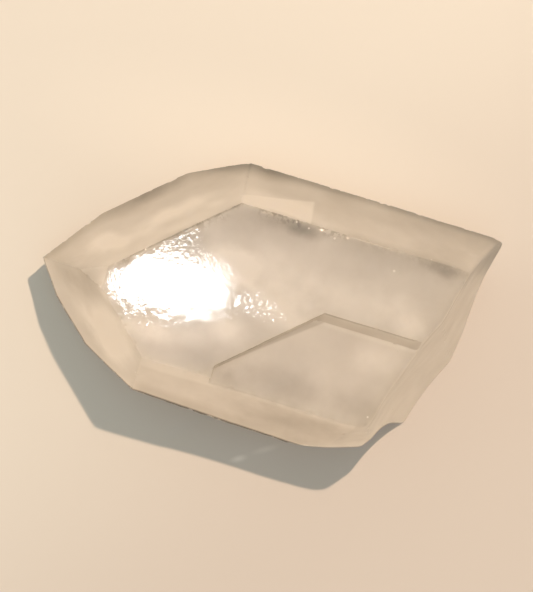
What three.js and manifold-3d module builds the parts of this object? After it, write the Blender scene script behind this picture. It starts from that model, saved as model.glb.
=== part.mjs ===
// A quartz crystal: a flat prism with one point, snapped off at its other end.
// Millimetres. +X runs along the crystal's long axis to the point, +Y across it and +Z up.
// The origin is on the face that the crystal lies on, under the middle of its bounding box.
import * as THREE from 'three';
import { mergeVertices } from 'three/addons/utils/BufferGeometryUtils.js';
import Module from 'manifold-3d';

const wasm = await Module();
wasm.setup();

// Each face is given by its turn about the long axis from the top face, in degrees, and by its
// distance from the middle of the crystal. Quartz fixes the angles; growth sets the distances.
const PRISM_FACES = {
  top: { turn: 0, distance: 6.0 },
  upperNear: { turn: -60, distance: 11.0 },
  lowerNear: { turn: -120, distance: 12.15, lean: 4 },
  base: { turn: 180, distance: 6.85 },
  lowerFar: { turn: 120, distance: 11.55 },
  upperFar: { turn: 60, distance: 9.94 },
};
const POINT_FACES = {
  top: { turn: 0, distance: 14.56 },
  near: { turn: -60, distance: 14.92 },
  nearUnder: { turn: -120, distance: 18.6 },
  under: { turn: 180, distance: 16.15 },
  farUnder: { turn: 120, distance: 15.96 },
  far: { turn: 60, distance: 11.1 },
};
const PRISM_TILT = 90; // angle between a prism face's normal and the long axis
const POINT_TILT = 51.79; // the same for a face of the point

// A lower growth level in the top face, open to the near side and to the broken end. Its long
// side slopes down like a growth face and runs along the crystal; its short side runs across.
const STEP_DEPTH = 1.0;
const STEP_LONG_SIDE = { turn: -49.6, distance: 3.89 };
const STEP_SHORT_SIDE = { heading: 132.2, slope: 12, distance: 4.95 };
const STEP_START_X = 3.2;

// The broken end: shallow shell-shaped breaks, each a ball of the given radius that touches the
// point `at` and hollows the crystal there. The break faces the way that heading and slope say.
const SHELL_BREAKS = [
  { at: [-18.9, -5.0, 0], heading: 168, slope: 17, radius: 50 },
  { at: [-15.7, 5.0, 0], heading: 162.5, slope: 20, radius: 45 },
  { at: [-21.0, -7.5, -5], heading: 174, slope: 3, radius: 30 },
];
// A tall chip out of the corner between the broken end and the near side, and the two flat
// splits that the near side lost beside it.
const CORNER_CHIP = { at: [-17.5, 12.1, -4], radius: 3.5, height: 22 };
const NEAR_SPLITS = [
  { heading: 104.9, slope: 0, distance: 15.1 },
  { heading: 115.7, slope: 20.5, distance: 14.9 },
];

const STOCK = 80; // side of the blocks that the faces are cut with
const BALL_SEGMENTS = 96;
const COLOUR = 0xe4d3b9;

const UP = new THREE.Vector3(0, 0, 1);

// Outward normal of a face, turned towards the point by `lean` where growth was uneven.
function faceNormal(turn, tilt, lean = 0) {
  const round = THREE.MathUtils.degToRad(turn);
  const along = THREE.MathUtils.degToRad(tilt - lean);
  return new THREE.Vector3(
    Math.cos(along),
    -Math.sin(along) * Math.sin(round),
    Math.sin(along) * Math.cos(round),
  );
}

// Outward normal by compass heading from +X and upward slope.
function headingNormal(heading, slope) {
  const round = THREE.MathUtils.degToRad(heading);
  const rise = THREE.MathUtils.degToRad(slope);
  return new THREE.Vector3(
    Math.cos(rise) * Math.cos(round),
    Math.cos(rise) * Math.sin(round),
    Math.sin(rise),
  );
}

function solidOf(geometry) {
  const bare = geometry.index ? geometry.toNonIndexed() : geometry;
  bare.deleteAttribute('normal');
  bare.deleteAttribute('uv');
  const merged = mergeVertices(bare, 1e-5);
  const mesh = new wasm.Mesh({
    numProp: 3,
    vertProperties: new Float32Array(merged.attributes.position.array),
    triVerts: new Uint32Array(merged.index.array),
  });
  return new wasm.Manifold(mesh);
}

function geometryOf(solid) {
  const mesh = solid.getMesh();
  const geometry = new THREE.BufferGeometry();
  geometry.setAttribute('position', new THREE.BufferAttribute(mesh.vertProperties, 3));
  geometry.setIndex(new THREE.BufferAttribute(mesh.triVerts, 1));
  return geometry;
}

// A block with one side on the plane at `distance` along `normal`, and all of it beyond.
function blockBeyond(normal, distance) {
  const block = new THREE.BoxGeometry(STOCK, STOCK, STOCK);
  block.translate(0, 0, distance + STOCK / 2);
  block.applyQuaternion(new THREE.Quaternion().setFromUnitVectors(UP, normal));
  return solidOf(block);
}

function blockWithin(normal, distance) {
  return blockBeyond(normal.clone().negate(), -distance);
}

function grownCrystal() {
  let crystal = solidOf(new THREE.BoxGeometry(STOCK, STOCK, STOCK));
  for (const { turn, distance, lean } of Object.values(PRISM_FACES)) {
    crystal = crystal.subtract(blockBeyond(faceNormal(turn, PRISM_TILT, lean), distance));
  }
  for (const { turn, distance } of Object.values(POINT_FACES)) {
    crystal = crystal.subtract(blockBeyond(faceNormal(turn, POINT_TILT), distance));
  }
  return crystal;
}

// The material missing above the lower growth level.
function growthStep() {
  const { turn, distance } = STEP_LONG_SIDE;
  const short = headingNormal(STEP_SHORT_SIDE.heading, STEP_SHORT_SIDE.slope);
  const start = new THREE.Vector3(-1, 0, 0);
  return blockBeyond(UP, PRISM_FACES.top.distance - STEP_DEPTH)
    .subtract(blockWithin(faceNormal(turn, PRISM_TILT), distance))
    .subtract(blockWithin(short, STEP_SHORT_SIDE.distance))
    .subtract(blockWithin(start, -STEP_START_X));
}

function shellBreak({ at, heading, slope, radius }) {
  const ball = new THREE.SphereGeometry(radius, BALL_SEGMENTS, BALL_SEGMENTS);
  const centre = headingNormal(heading, slope).multiplyScalar(radius);
  centre.add(new THREE.Vector3(...at));
  ball.translate(centre.x, centre.y, centre.z);
  return solidOf(ball);
}

function cornerChip({ at, radius, height }) {
  const ball = new THREE.SphereGeometry(radius, BALL_SEGMENTS / 2, BALL_SEGMENTS / 2);
  ball.scale(1, 1, height / (2 * radius));
  ball.translate(...at);
  return solidOf(ball);
}

function brokenCrystal() {
  let crystal = grownCrystal().subtract(growthStep());
  for (const shell of SHELL_BREAKS) {
    crystal = crystal.subtract(shellBreak(shell));
  }
  for (const { heading, slope, distance } of NEAR_SPLITS) {
    crystal = crystal.subtract(blockBeyond(headingNormal(heading, slope), distance));
  }
  return crystal.subtract(cornerChip(CORNER_CHIP));
}

// Moves the crystal so that it lies on z = 0 with its bounding box centred over the origin.
function laidDown(geometry) {
  geometry.computeBoundingBox();
  const { min, max } = geometry.boundingBox;
  geometry.translate(-(min.x + max.x) / 2, -(min.y + max.y) / 2, -min.z);
  return geometry;
}

const crystal = new THREE.Mesh(
  laidDown(geometryOf(brokenCrystal())),
  new THREE.MeshStandardMaterial({ color: COLOUR, roughness: 0.35, metalness: 0 }),
);
crystal.name = 'quartz_crystal';

const part = new THREE.Group();
part.add(crystal);
export default part;
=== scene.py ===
import math

import bpy
import numpy as np
from mathutils import Matrix, Vector
from mathutils.bvhtree import BVHTree
from mathutils.kdtree import KDTree


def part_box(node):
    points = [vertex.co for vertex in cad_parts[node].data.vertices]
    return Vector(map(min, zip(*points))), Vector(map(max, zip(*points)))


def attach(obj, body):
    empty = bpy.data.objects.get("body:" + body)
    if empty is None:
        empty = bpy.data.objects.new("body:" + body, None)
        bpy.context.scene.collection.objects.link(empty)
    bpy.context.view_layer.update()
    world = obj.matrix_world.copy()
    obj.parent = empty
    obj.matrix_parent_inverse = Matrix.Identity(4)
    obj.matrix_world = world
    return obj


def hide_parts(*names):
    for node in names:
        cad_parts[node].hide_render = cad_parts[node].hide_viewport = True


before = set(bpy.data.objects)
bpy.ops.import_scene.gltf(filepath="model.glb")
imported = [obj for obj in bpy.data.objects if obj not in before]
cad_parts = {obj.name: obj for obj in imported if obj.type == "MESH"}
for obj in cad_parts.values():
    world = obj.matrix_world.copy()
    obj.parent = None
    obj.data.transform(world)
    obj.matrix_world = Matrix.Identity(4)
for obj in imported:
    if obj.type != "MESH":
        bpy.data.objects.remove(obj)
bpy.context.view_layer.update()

# The crystal: one piece of cloudy quartz that grew flat, with a point at one end, and that was
# snapped off at the other. It lies loose on its widest face. Its growth faces are softly worn
# along their edges, and the broken end is rippled like thick broken glass.
MM = 0.001
GRAIN = 0.12             # size of the mesh that the wear and the ripples are cut into, mm
MOST_TRIANGLES = 190000  # what is kept of it
RUBS = 3                 # how often the edges are rubbed down
BREAK_RUBS = 120         # and the broken end, with
BREAK_EDGE = 1.0         # this much round it, mm
POINT_TILT = math.radians(51.79)  # between the long axis and the way a face of the point looks
FACE_SLACK = 5.0         # how far a growth face may be turned from its ideal, degrees
FLAT = 0.999             # the least upward part of the way that a level face looks
SIDEWAYS = 0.3           # the least sideways part of the way that a side face looks, and
UPWARD = 0.1             # the least upward part if it is an upper one
TIP_AHEAD = 0.5          # the same for the small upper face at the tip: its part toward the point
TIP_UPWARD = 0.6         # and its upward part
LEAST_STEP = 0.3         # how far below the top a level face is at least, mm
TOUCH = 0.01             # how close two surfaces are that meet, mm
SHARP = 18.0             # the least bend of an edge, degrees
BEAD_GAP = 0.1           # between the points that stand for an edge, mm
WELDS_PER_MM = 2000      # how finely the ends of two edges are told apart
SKIN_LOSS = 0.04         # worn off everywhere, mm
BASE_LOSS = 0.05         # and off the face that it lies on
CLEARANCE = 0.03         # left between that face and the floor, mm

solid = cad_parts["quartz_crystal"]
low, high = (np.array(corner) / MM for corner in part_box("quartz_crystal"))


def replace_mesh(piece):
    """Works the piece's modifiers into its mesh."""
    graph = bpy.context.evaluated_depsgraph_get()
    shaped = bpy.data.meshes.new_from_object(piece.evaluated_get(graph))
    piece.modifiers.clear()
    piece.data = shaped


def numbers(values, name, width, scale=1.0):
    """One property of every vertex or face, as rows of numbers."""
    found = np.empty(len(values) * width)
    values.foreach_get(name, found)
    return found.reshape(-1, width) * scale


corners = numbers(solid.data.vertices, "co", 3, 1 / MM)
facets = numbers(solid.data.polygons, "vertices", 3).astype(int)
facing = numbers(solid.data.polygons, "normal", 3)
middles = corners[facets].mean(1)


def growth_directions():
    """The ways that the faces of the prism and of the point look."""
    found = []
    for turn in range(0, 360, 60):
        around = np.array([0, -math.sin(math.radians(turn)), math.cos(math.radians(turn))])
        found.append(around)
        found.append(np.array([math.cos(POINT_TILT), 0, 0]) + math.sin(POINT_TILT) * around)
    return np.array(found)


# The solid's facets by the kind of surface that they belong to. The lower level is flat but well
# below the top, and the riser is what stands between the two.
grown = (facing @ growth_directions().T).max(1) > math.cos(math.radians(FACE_SLACK))
level_facets = (facing[:, 2] > FLAT) & (middles[:, 2] < high[2] - LEAST_STEP)
level_height = middles[level_facets, 2].mean()
riser_facets = ~grown & (corners[facets][:, :, 2].min(1) > level_height - TOUCH)
riser_facets &= middles[:, 0] > middles[level_facets, 0].min()
kinds = {
    "top": (facing[:, 2] > FLAT) & ~level_facets,
    "level": level_facets,
    "riser": riser_facets,
    "base": facing[:, 2] < -FLAT,
    "far_side": grown & (facing[:, 1] < -SIDEWAYS) & (facing[:, 2] > UPWARD),
    "near_side": grown & (facing[:, 1] > SIDEWAYS) & (facing[:, 2] > UPWARD),
    "tip_facet": grown & (facing[:, 0] > TIP_AHEAD) & (facing[:, 2] > TIP_UPWARD),
    "broken": ~grown & ~riser_facets,
}
solid_tree = BVHTree.FromPolygons(corners.tolist(), facets.tolist())
break_tree = BVHTree.FromPolygons(corners.tolist(), facets[kinds["broken"]].tolist())


def nearest_facets(points):
    return np.array([solid_tree.find_nearest(point)[2] for point in points.tolist()])


def distance_to_break(points):
    return np.array([break_tree.find_nearest(point)[3] for point in points.tolist()])


def ridge_tree():
    """The solid's sharp edges that stand out, as rows of points."""
    users = {}
    for number, facet in enumerate(facets):
        for a, b in ((0, 1), (1, 2), (2, 0)):
            ends = corners[facet[a]], corners[facet[b]]
            key = tuple(sorted(tuple(np.round(end * WELDS_PER_MM).astype(int)) for end in ends))
            users.setdefault(key, []).append((number, *ends))
    beads = []
    for first, second in (pair for pair in users.values() if len(pair) == 2):
        one, start, end = first
        other = second[0]
        bend = math.degrees(math.acos(min(1, facing[one] @ facing[other])))
        stands_out = (middles[other] - start) @ facing[one] <= 0
        if bend > SHARP and stands_out:
            count = 2 + int(np.linalg.norm(end - start) / BEAD_GAP)
            beads.extend(np.linspace(start, end, count))
    found = KDTree(len(beads))
    for number, bead in enumerate(beads):
        found.insert(bead, number)
    found.balance()
    return found


ridges = ridge_tree()


def distance_to_ridge(points):
    return np.array([ridges.find(point)[2] for point in points.tolist()])


def waves(points, size, seed, stretch=(1, 1, 1)):
    """A soft random field, about -1 to 1, whose swells are about `size` mm apart."""
    count = 28
    dice = np.random.default_rng(seed)
    ways = dice.normal(size=(count, 3))
    ways *= dice.uniform(0.6, 1.5, size=(count, 1)) / np.linalg.norm(ways, axis=1)[:, None]
    turns = points @ (ways / np.array(stretch)).T * (2 * np.pi / size)
    return np.cos(turns + dice.uniform(0, 2 * np.pi, count)).sum(1) / math.sqrt(count / 2)


def smooth_step(values, start, end):
    share = np.clip((values - start) / (end - start), 0, 1)
    return share * share * (3 - 2 * share)


# The solid's copy is cut into fine facets, and its edges and its broken end are rubbed down.
crystal = bpy.data.objects.new("crystal", solid.data.copy())
bpy.context.scene.collection.objects.link(crystal)
fine = crystal.modifiers.new("fine", "REMESH")
fine.mode = "VOXEL"
fine.voxel_size = GRAIN * MM
replace_mesh(crystal)
points = numbers(crystal.data.vertices, "co", 3, 1 / MM)
by_break = np.flatnonzero(distance_to_break(points) < BREAK_EDGE)
crystal.vertex_groups.new(name="break").add(by_break.tolist(), 1, "REPLACE")
for group, rubs in (("", RUBS), ("break", BREAK_RUBS)):
    rub = crystal.modifiers.new("rub", "SMOOTH")
    rub.factor = 0.5
    rub.iterations = rubs
    rub.vertex_group = group
replace_mesh(crystal)

# Ripples of the break run round the place where the blow fell, growth lines run round the prism,
# and small nicks follow the edges. The top and the lower level stay nearly flat.
BLOW = np.array([low[0] + 6.5, -1.5, high[2] + 3])
RIPPLE_GAP = 1.7

points = numbers(crystal.data.vertices, "co", 3, 1 / MM)
normals = numbers(crystal.data.vertices, "normal", 3)
facet_of = nearest_facets(points)
on = {kind: chosen[facet_of].astype(float) for kind, chosen in kinds.items()}
from_ridge = distance_to_ridge(points)
from_break = distance_to_break(points)
from_blow = np.linalg.norm(points - BLOW, axis=1) + 0.5 * waves(points, 6, 11)
ripple = 0.002 * np.sin(from_blow * 2 * np.pi / RIPPLE_GAP) + 0.005 * waves(points, 3.0, 12)
swell = 0.03 * waves(points, 9, 1) + 0.006 * waves(points, 2.2, 2)
growth_lines = 0.006 * waves(points, 1.2, 3, stretch=(1, 12, 12))
nicks = 0.10 * smooth_step(waves(points, 0.9, 4), 0.8, 1.6) * smooth_step(from_ridge, 0.4, 0.1)
still = np.maximum(on["top"], on["level"]) * smooth_step(from_break, 0.0, 2.5)
lined = (1 - on["top"]) * (1 - on["level"]) * (1 - on["broken"])
rippled = on["broken"] * smooth_step(from_break, BREAK_EDGE, 0.0)
relief = swell * (1 - 0.96 * still) + growth_lines * lined + ripple * rippled - nicks - SKIN_LOSS
relief = relief * (1 - on["base"]) - BASE_LOSS * on["base"]
points += normals * relief[:, None]
points[:, 2] = np.maximum(points[:, 2], low[2] + CLEARANCE)
points[:, :] = np.clip(points, low, high)
crystal.data.vertices.foreach_set("co", (points * MM).ravel())
crystal.data.update()

# The mesh is thinned out, but not on the broken end.
crystal.vertex_groups["break"].add(np.flatnonzero(on["broken"] > 0).tolist(), 1, "REPLACE")
thin = crystal.modifiers.new("thin", "DECIMATE")
thin.vertex_group = "break"
thin.invert_vertex_group = True
thin.vertex_group_factor = 1.0
thin.ratio = MOST_TRIANGLES / (2 * len(crystal.data.polygons))
replace_mesh(crystal)
mesh = crystal.data
mesh.shade_smooth()


def mark(name, values):
    """Keeps a number from 0 to 1 at each vertex, for the finish."""
    attribute = mesh.attributes.new(name, "FLOAT", "POINT")
    attribute.data.foreach_set("value", values)


points = numbers(mesh.vertices, "co", 3, 1 / MM)
facet_of = nearest_facets(points)
for kind, chosen in kinds.items():
    mark(kind, chosen[facet_of].astype(float))
by_ridge = smooth_step(distance_to_ridge(points), 0.35, 0.05)
mark("ridge", by_ridge * smooth_step(distance_to_break(points), 0.2, 1.2))


class Wire:
    """An output in a material's node tree. Sums on values add Math nodes."""

    def __init__(self, tree, socket=None):
        self.tree = tree
        self.socket = socket

    def node(self, kind, settings=None, inputs=None, output=0):
        made = self.tree.nodes.new("ShaderNode" + kind)
        for name, value in (settings or {}).items():
            setattr(made, name, value)
        for name, value in (inputs or {}).items():
            if isinstance(value, Wire):
                self.tree.links.new(value.socket, made.inputs[name])
            else:
                made.inputs[name].default_value = value
        return Wire(self.tree, made.outputs[output] if made.outputs else None)

    def sum(self, operation, first, second):
        return self.node("Math", {"operation": operation}, {0: first, 1: second})

    def __add__(self, other):
        return self.sum("ADD", self, other)

    def __sub__(self, other):
        return self.sum("SUBTRACT", self, other)

    def __rsub__(self, other):
        return self.sum("SUBTRACT", other, self)

    def __mul__(self, other):
        return self.sum("MULTIPLY", self, other)

    __radd__ = __add__
    __rmul__ = __mul__

    def between(self, start, end, at_start=0.0, at_end=1.0):
        """Smoothly from one number to another as the value goes from start to end."""
        ends = {"From Min": start, "From Max": end, "To Min": at_start, "To Max": at_end}
        return self.node("MapRange", {"interpolation_type": "SMOOTHSTEP"}, {"Value": self, **ends})

    def blend(self, first, second):
        """The first colour where this value is 0, and the second where it is 1."""
        return self.node("Mix", {"data_type": "RGBA"}, {0: self, 6: first, 7: second}, output=2)

    def vector(self, operation, other, output="Vector"):
        return self.node("VectorMath", {"operation": operation}, {0: self, 1: other}, output)

    def along(self, way):
        """How far this place is from its origin in one direction."""
        return self.vector("DOT_PRODUCT", way, "Value")

    def away(self, centre, reach):
        """How far this place is from a centre: 1 where it is `reach` from it along an axis."""
        offset = self.vector("SUBTRACT", centre).vector("DIVIDE", reach)
        return self.node("VectorMath", {"operation": "LENGTH"}, {0: offset}, "Value")


def new_material(name):
    material = bpy.data.materials.new(name)
    material.use_nodes = True
    material.node_tree.nodes.clear()
    return material, Wire(material.node_tree)


def place_in_mm(paint):
    place = paint.node("TexCoord", output="Object")
    return paint.node("VectorMath", {"operation": "SCALE"}, {0: place, "Scale": 1 / MM})


def rgb(red, green, blue):
    return (red, green, blue, 1)


# Its finish: quartz with milky veils in it, and with light and shade painted into its colour. The
# growth faces are frosted, so light comes through softly, and the far walls glow where a lamp
# reaches them. The top is nearly polished, with tiny etched pits.
QUARTZ_IOR = 1.544
HEART = (-0.454, -0.635, 6.85)  # where the crystal began to grow, mm
quartz, paint = new_material("cloudy_quartz")
place = place_in_mm(paint).vector("SUBTRACT", HEART)
length = place.along((1, 0, 0))  # from the heart to the point
width = place.along((0, 1, 0))   # to the near side
height = place.along((0, 0, 1))  # to the top


def mask(name):
    return paint.node("Attribute", {"attribute_name": name}, output="Fac")


def mottle(size, detail, seed=0.0):
    """Soft noise from 0 to 1 whose swells are about `size` mm apart."""
    inputs = {"Vector": place, "W": seed, "Scale": 1 / size, "Detail": detail, "Distortion": 0.0}
    return paint.node("TexNoise", {"noise_dimensions": "4D"}, inputs)


top, level, riser, broken = mask("top"), mask("level"), mask("riser"), mask("broken")
far_side, near_side, tip_facet = mask("far_side"), mask("near_side"), mask("tip_facet")
ridge = mask("ridge")
drift = 0.5 * (mottle(1.6, 3.0, 9.0) - 0.5)


def ragged_spot(centre, reach):
    """A ragged spot, 1 at its centre and 0 at `reach` mm from it along each axis: for clouds, painted
    light and shade, painted glints and etching.
    """
    return (place.away(centre, reach) + drift).between(1.0, 0.0)


def depth_under(lowest, highest):
    """How far below the nearest growth face a place is, of those whose outward way climbs so much."""
    chosen = grown & (facing[:, 2] > lowest) & (facing[:, 2] < highest)
    faces = {tuple(np.round(way, 2)): (way, way @ (middle - HEART))
             for way, middle in zip(facing[chosen], middles[chosen])}
    nearest = None
    for way, reach in faces.values():
        depth = reach - place.along(way)
        nearest = depth if nearest is None else nearest.sum("MINIMUM", nearest, depth)
    return nearest


above_girdle = depth_under(-0.95, -0.1)
inside_slopes = depth_under(0.1, 0.95)

# Darker places, partly clearer quartz and partly painted shade: each a centre and a reach in mm
# from the heart, and a strength.
CLEAR_AND_SHADED = [
    # the far side and the point's far face, from their lower edge up
    ((13, -7.0, -6), (7, 3.0, 4.0), 0.20),
    ((6, -12, -4), (5, 3.0, 4.0), 0.12),
    ((-4, -11.8, -0.5), (4, 2.0, 3), 0.08),
    ((-15, -11.5, 0), (6, 2.5, 3), 0.08),
    ((15.5, -5.0, -4.5), (4, 3.0, 3.5), 0.12),
    ((3.5, -12, -1), (3.5, 2.0, 3.5), 0.10),
    # under the top's far edge
    ((2.2, -7.3, 6), (3.5, 1.5, 1.5), 0.16),
    ((-15.5, -8.8, 5), (5, 3.5, 4), 0.12),
    ((4.9, -6.4, 6), (3.6, 2.6, 1.5), 0.11),
    ((-9, -7.5, 6), (11, 2.5, 1.5), 0.12),
    # two grey darker spots at the top's far edge, and fainter ones beside the first
    ((-1.3, -7.2, 6), (3.0, 1.2, 1.5), 0.34),
    ((-15.5, -7.5, 6), (3.0, 1.0, 1.5), 0.20),
    ((9.1, -3.7, 6), (2.5, 1.8, 1.5), 0.12),
    ((0.1, -6.8, 6), (4.5, 2.6, 1.5), 0.10),
    # where the point's far face meets the top
    ((10.4, -2.7, 6), (4, 1.6, 1.5), 0.14),
    # the point's near face
    ((17.6, 3.7, 3.2), (4.2, 3.0, 6), 0.20),
    ((20.2, 3.4, 0.3), (3, 3, 4), 0.14),
    # the top beside the lower level, and the lower level
    ((3.8, 7.6, 5.5), (5, 2.5, 2), 0.16),
    ((1.5, 9.0, 5), (3, 1.5, 2), 0.12),
    ((-3.5, 8.0, 4.5), (7, 3, 2), 0.20),
    ((-11.5, 8.0, 4.5), (4, 3, 2), 0.16),
    # the near side, away from the point
    ((-7, 11.5, 2.5), (12, 3, 5), 0.24),
]
# Paler places, partly milkier quartz and partly painted light, such as glow where light comes
# through the point's faces and a halo about the top's highlight, in the same way.
MILKY_AND_LIT = [
    # the faces of the point
    ((17.6, -0.6, 1.0), (4, 2.0, 5), 0.24),
    ((11.5, -5.4, 1.2), (7, 4.5, 2.6), 0.18),
    ((13.5, 8, 2), (5, 5, 6), 0.30),
    ((15.5, 4.0, 6.5), (2.4, 2.4, 2), 0.20),
    ((17.5, 7.5, -0.5), (4, 2.5, 2.5), 0.14),
    ((15.0, -1.5, 2.2), (3, 2, 2), 0.10),
    ((13.2, -2.9, 2.9), (2.6, 1.6, 2.2), 0.08),
    ((15.4, -0.6, 3.0), (2.0, 1.2, 2.0), 0.06),
    ((7.7, -7.3, 3.5), (2.6, 1.4, 1.6), 0.09),
    ((13.2, 10.0, -0.1), (3.4, 2.6, 2.2), 0.08),
    # the top, from the broken end to the point
    ((-14.2, -1.0, 6), (2.5, 2, 1.5), 0.12),
    ((-13, -2.5, 6), (3.5, 3, 1.5), 0.04),
    ((-8, -2.0, 6), (9, 3.2, 1.5), 0.16),
    ((-2.6, 1.9, 6), (5.0, 2.0, 1.5), 0.09),
    ((-1.6, 0.7, 6), (5, 3, 1.5), 0.14),
    ((-1.0, -2.0, 6), (6, 5, 1.5), 0.10),
    ((1.2, -2.8, 6), (4.0, 3.6, 1.5), 0.08),
    ((3.0, 4.2, 6), (3.5, 2.2, 1.5), 0.20),
    ((4.4, -1.8, 6), (3.8, 2.8, 1.5), 0.34),
    ((5.8, 6.0, 6), (2.4, 1.6, 1.5), 0.10),
    ((9.0, 6.6, 6), (3.5, 1.8, 1.5), 0.12),
    ((10.8, 6.4, 6), (4.2, 1.5, 1.5), 0.12),
    # the lower level
    ((-12, 2.8, 4.9), (4.5, 2.4, 1), 0.13),
    # the far side, with a short streak by the broken end
    ((2.0, -9.3, 4.0), (4.5, 1.5, 2.5), 0.12),
    ((-10, -9.8, 3.2), (5, 1.6, 2.5), 0.04),
    ((-18.4, -10.0, 3.7), (1.2, 0.5, 1.5), 0.16),
]
# Tiny painted glints: their centres, all of one size.
GLINT_REACH = (0.16, 0.16, 0.3)
PAINTED_GLINTS = [
    (-0.4, -7.75, 6),
    (-1.7, -7.5, 6),
    (-4.4, -7.3, 6),
    (-10.9, -5.95, 6),
    (-14.1, -8.15, 6),
    (-12.7, 8.5, 5),
    (10.4, 11.0, 2.7),
]

# The tone is how pale the quartz looks: 1 is white and 0 is black. It carries the painted light
# and shade below, and the small face at the tip is painted paler, as lit.
tone = 0.82 + 0.2 * (mottle(4.0, 3.0) - 0.5) + 0.14 * tip_facet

# The step's riser and brow are painted in shade, its foot is painted with a pale highlight, and a
# narrow painted shadow lies where its short side throws one.
shaded_riser = riser * length.between(3.2, 2.6, 0.3, 1.0)
shaded_brow = 0.2 * height.between(5.75, 5.95)
tone = tone - shaded_riser * (0.12 + shaded_brow + 0.1 * length.between(-6.0, -5.0))
painted_foot_light = 0.10 * width.between(1.4, 0.9)
tone = tone + level * (painted_foot_light - 0.16 * place.along((-0.629, 0.779, 0)).between(4.5, 4.25))

# A dark line of painted shade runs along the widest part of the near side, thinner beside the
# point. The near side is painted darker toward that line and painted paler toward its top edge.
at_point = length.between(9.0, 11.0)
outline_shade = 0.5 * (above_girdle + 0.15 * at_point).between(0.6, 0.25)
tone = tone + 0.08 * near_side * (1 - at_point) * height.between(4.2, 4.9)
tone = tone - near_side * (outline_shade + 0.14 * (1 - at_point) * above_girdle.between(2.8, 0.8))

# The far side is painted in shade at its widest part, more so toward the broken end, and painted
# paler, as lit, under the top.
tone = tone + far_side * (0.06 * above_girdle.between(3.0, 6.5) - 0.03)
far_shade = (above_girdle + 1.2 * length.between(4.0, -4.0)).between(2.8, 0.0)
tone = tone - far_side * (0.22 * far_shade + 0.03 * length.between(5.0, 3.0))
tone = tone + 0.05 * far_side * height.between(3.0, 5.5)
# The painted glints.
for centre in PAINTED_GLINTS:
    tone = tone + 0.6 * ragged_spot(centre, GLINT_REACH)

# A straight-edged patch under the top's far edge is painted paler, as light caught by a growth
# plate that the solid doesn't have.
lit_patch = length.between(-1.9, -1.6) * length.between(5.5, 5.2)
lit_patch = lit_patch * place.along((-0.206, 0.979, 0)).between(-9.85, -9.6)
tone = tone + 0.15 * far_side * lit_patch

# Frosted specks follow the top's far edge and are painted darker, as shade; a fine dark line
# follows its edge at the point.
far_edge = inside_slopes.between(1.1, 0.1) * width.between(3.0, 1.0)
far_edge = far_edge * length.between(-7.0, -4.0, 0.25, 1.0)
specks = top * far_edge * mottle(0.4, 2.0, 7.0).between(0.44, 0.58)
specks = specks * mottle(2.6, 1.0, 13.0).between(0.42, 0.56)
tone = tone - 0.2 * specks
point_edge = inside_slopes.between(0.3, 0.1) * width.between(1.5, 0.5) * length.between(5.0, 6.0)
tone = tone - 0.2 * top * point_edge
# The darker places, partly painted shade, and the paler ones, partly painted light.
for centre, reach, strength in CLEAR_AND_SHADED:
    tone = tone - strength * ragged_spot(centre, reach)
for centre, reach, strength in MILKY_AND_LIT:
    tone = tone + strength * ragged_spot(centre, reach)
tone = tone.sum("MAXIMUM", tone, 0.15)
tint = tone.between(0.5, 0.95).blend(rgb(0.965, 0.95, 0.88), rgb(0.95, 0.96, 0.95))
colour = (tone * tone).blend(rgb(0.0, 0.0, 0.0), tint)

# The polish stops short of the broken end, at the specks and at a frosted place by the point.
frosted = ragged_spot((11.0, 5.9, 6), (5.0, 2.2, 2)) * mottle(0.5, 2.0, 17.0).between(0.38, 0.54)
polished = top * place.along((-0.966, 0.259, 0)).between(17.0, 10.0)
polished = polished * (1 - 0.9 * specks) * (1 - 0.9 * frosted)

# Heights of the etching, in mm: soft waves all over, pits at the top's far edge, ragged waves
# toward the point, two patches of pits in the middle of the top, and a few single dots.
etched = 0.005 * mottle(1.2, 1.0, 6.0) + 0.0003 * mottle(0.25, 1.0, 5.0)
far_rim = (inside_slopes + length.between(8.0, 5.0)).between(1.7, 0.5) * width.between(5.0, 3.0)
etched = etched + 0.003 * top * mottle(0.32, 1.0, 4.0).between(0.4, 0.7) * far_rim
ragged = mottle(0.45, 1.0, 17.0).between(0.35, 0.65) * length.between(6.0, 10.0)
etched = etched + 0.0011 * ragged
etched = etched + 0.032 * mottle(0.42, 1.0, 8.0) * ragged_spot((-1.0, 1.3, 6), (4.6, 2.6, 2))
etched = etched + 0.002 * mottle(0.12, 0.0, 21.0) * ragged_spot((5.6, -1.4, 6), (3.4, 2.2, 2))
dots = paint.node("TexVoronoi", {}, {"Vector": place, "Scale": 0.4}, output="Distance")
etched = etched + 0.03 * dots.between(0.05, 0.0)
pits = paint.node("Bump", {}, {"Strength": 1.0, "Distance": MM, "Height": etched})

body = paint.node("BsdfPrincipled", {}, {
    "Base Color": colour,
    "Roughness": 0.32 + 0.3 * ridge + 0.15 * broken,
    "IOR": QUARTZ_IOR,
    "Transmission Weight": 0.85,
    "Subsurface Weight": 1.0,
    "Subsurface Radius": (1.0, 0.9, 0.75),
    "Subsurface Scale": 4 * MM,
    "Normal": pits,
})
# The far walls, seen from inside, are mostly a pale wall that stands in for the cloudy quartz.
WALL_SHARE = 0.75
wall = paint.node("BsdfDiffuse", {}, {"Color": rgb(0.91, 0.92, 0.905)})
inside = paint.node("NewGeometry", output="Backfacing")
skin = paint.node("MixShader", {}, {0: inside * WALL_SHARE, 1: body, 2: wall})
glaze = paint.node("BsdfGlossy", {}, {
    "Color": rgb(1.0, 1.0, 1.0),
    "Roughness": 0.05,
    "Normal": pits,
})
mirrored = paint.node("Fresnel", {}, {"IOR": QUARTZ_IOR})
skin = paint.node("MixShader", {}, {0: mirrored * polished * (1 - ridge), 1: skin, 2: glaze})
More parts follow.
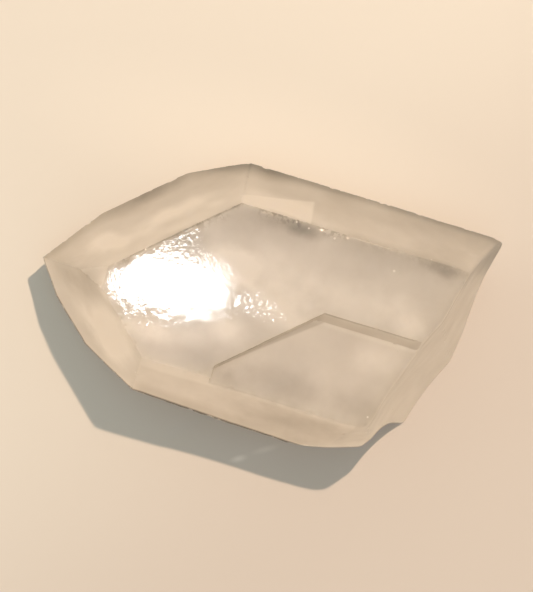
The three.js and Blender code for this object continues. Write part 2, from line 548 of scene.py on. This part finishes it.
# Lamps reach the far walls through the quartz, and the floor a little.
let_in = paint.node("BsdfTransparent", {}, {"Color": rgb(1.0, 0.97, 0.92)})
let_out = paint.node("BsdfTransparent", {}, {"Color": rgb(0.22, 0.218, 0.222)})
stand_in = paint.node("MixShader", {}, {0: inside, 1: let_out, 2: let_in})
lamp_ray = paint.node("LightPath", output="Is Shadow Ray")
surface = paint.node("MixShader", {}, {0: lamp_ray, 1: skin, 2: stand_in})
paint.node("OutputMaterial", {}, {"Surface": surface})
mesh.materials.clear()
mesh.materials.append(quartz)
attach(crystal, "root")
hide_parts("quartz_crystal")

# The floor: a plain sheet of pale paper under the crystal. Shade is painted darker on one side of
# it, a pool of light is painted beside the crystal, and two faint streaks glow where the quartz
# would gather the lamp's light: painted caustics.
FLOOR_HALF = 0.8
SHADE_WAY = (-0.82, 0.57, 0)        # from the paler side of the sheet to the darker one
LIGHT_POOL = ((1, -13.8, 0), (32, 11, 1))  # its centre and its reach, mm
CAUSTIC_TURN = -32                    # degrees, about the pivot
CAUSTIC_PIVOT = (-3.9, 15.3, 0)
PAINTED_CAUSTICS = [
    ((-2.6, 15.6, 0), (1.3, 0.5, 1), 1.0),
    ((-5.5, 15.4, 0), (2.2, 0.5, 1), 0.6),
]
floor_mesh = bpy.data.meshes.new("floor")
floor_corners = [(x * FLOOR_HALF, y * FLOOR_HALF, 0) for x, y in ((-1, -1), (1, -1), (1, 1), (-1, 1))]
floor_mesh.from_pydata(floor_corners, [], [(0, 1, 2, 3)])
floor = bpy.data.objects.new("floor", floor_mesh)
bpy.context.scene.collection.objects.link(floor)
paper, sheet = new_material("pale_paper")
on_sheet = place_in_mm(sheet)
# Painted shade, darker toward one side of the sheet.
shaded_paper = on_sheet.along(SHADE_WAY).between(-15, 26).blend(
    rgb(0.865, 0.805, 0.727), rgb(0.745, 0.662, 0.596))
# A painted pool of light beside the crystal.
light_pool = on_sheet.away(*LIGHT_POOL).between(1.0, 0.0, 0.0, 0.8)
# Two painted caustics: streaks that glow where the quartz would gather the lamp's light.
along_caustics = sheet.node("VectorRotate", {"rotation_type": "Z_AXIS"}, {
    "Vector": on_sheet,
    "Center": CAUSTIC_PIVOT,
    "Angle": math.radians(CAUSTIC_TURN),
})
caustic_glow = sum(strength * along_caustics.away(centre, reach).between(1.0, 0.0)
               for centre, reach, strength in PAINTED_CAUSTICS)
# The paper's colour carries the painted shade and the painted pool of light, and its glow the painted
# caustics.
paper_body = sheet.node("BsdfPrincipled", {}, {
    "Base Color": light_pool.blend(shaded_paper, rgb(0.96, 0.89, 0.80)),
    "Roughness": 0.8,
    "Specular IOR Level": 0.2,
    "Emission Color": caustic_glow.blend(rgb(0, 0, 0), rgb(0.14, 0.13, 0.12)),
    "Emission Strength": 1.0,
})
sheet.node("OutputMaterial", {}, {"Surface": paper_body})
floor_mesh.materials.append(paper)

# The lights: one compact warm lamp high on the far side, a small soft one overhead that the
# top face mirrors, and a pale sky all round.
world = bpy.data.worlds.new("studio")
bpy.context.scene.world = world
world.use_nodes = True
sky = world.node_tree.nodes["Background"]
sky.inputs["Color"].default_value = rgb(0.297, 0.36, 0.355)
sky.inputs["Strength"].default_value = 1.0
bpy.context.scene.cycles.caustics_refractive = False
bpy.context.scene.cycles.caustics_reflective = False


def lamp(name, kind, at, power, colour, turn=0.0, **settings):
    """A lamp at a place in mm, turned about the upright by some degrees."""
    light = bpy.data.lights.new(name, kind)
    light.energy = power
    light.color = colour
    for key, value in settings.items():
        setattr(light, key, value)
    holder = bpy.data.objects.new(name, light)
    holder.location = Vector(at) * MM
    holder.rotation_euler.z = math.radians(turn)
    bpy.context.scene.collection.objects.link(holder)
    return light


# The warm lamp's light doesn't fall off with distance, so that the paper is lit evenly.
warm = lamp("key", "POINT", (-25, -115, 193), 1.0, (1.0, 0.742, 0.548), shadow_soft_size=2.5 * MM)
warm.use_nodes = True
steady = Wire(warm.node_tree).node("LightFalloff", {}, {"Strength": 33.2}, output="Constant")
warm.node_tree.links.new(steady.socket, warm.node_tree.nodes["Emission"].inputs["Strength"])
lamp("overhead", "AREA", (5.0, 3.5, 400), 0.054, (0.97, 0.98, 1.0), turn=5,
     shape="ELLIPSE", size=34.5 * MM, size_y=14.2 * MM)

# The camera looks almost straight down at the heart, with the crystal's point to the left.
DISTANCE = 230 * MM
turn = Matrix.Rotation(math.radians(-163.12), 3, "Z")
tip = Matrix.Rotation(math.radians(-0.855), 3, "X")
lean = Matrix.Rotation(math.radians(-3.122), 3, "Y")
view = turn @ tip @ lean
lens = bpy.data.cameras.new("camera")
lens.lens = 139.86  # mm, on a frame 36 mm wide
lens.sensor_width = 36.0
lens.clip_start = 0.01
camera = bpy.data.objects.new("camera", lens)
stand = Vector(HEART) * MM + view @ Vector((0, 0, DISTANCE))
camera.matrix_world = Matrix.Translation(stand) @ view.to_4x4()
bpy.context.scene.collection.objects.link(camera)
bpy.context.scene.camera = camera
bpy.context.scene.view_settings.view_transform = "Standard"
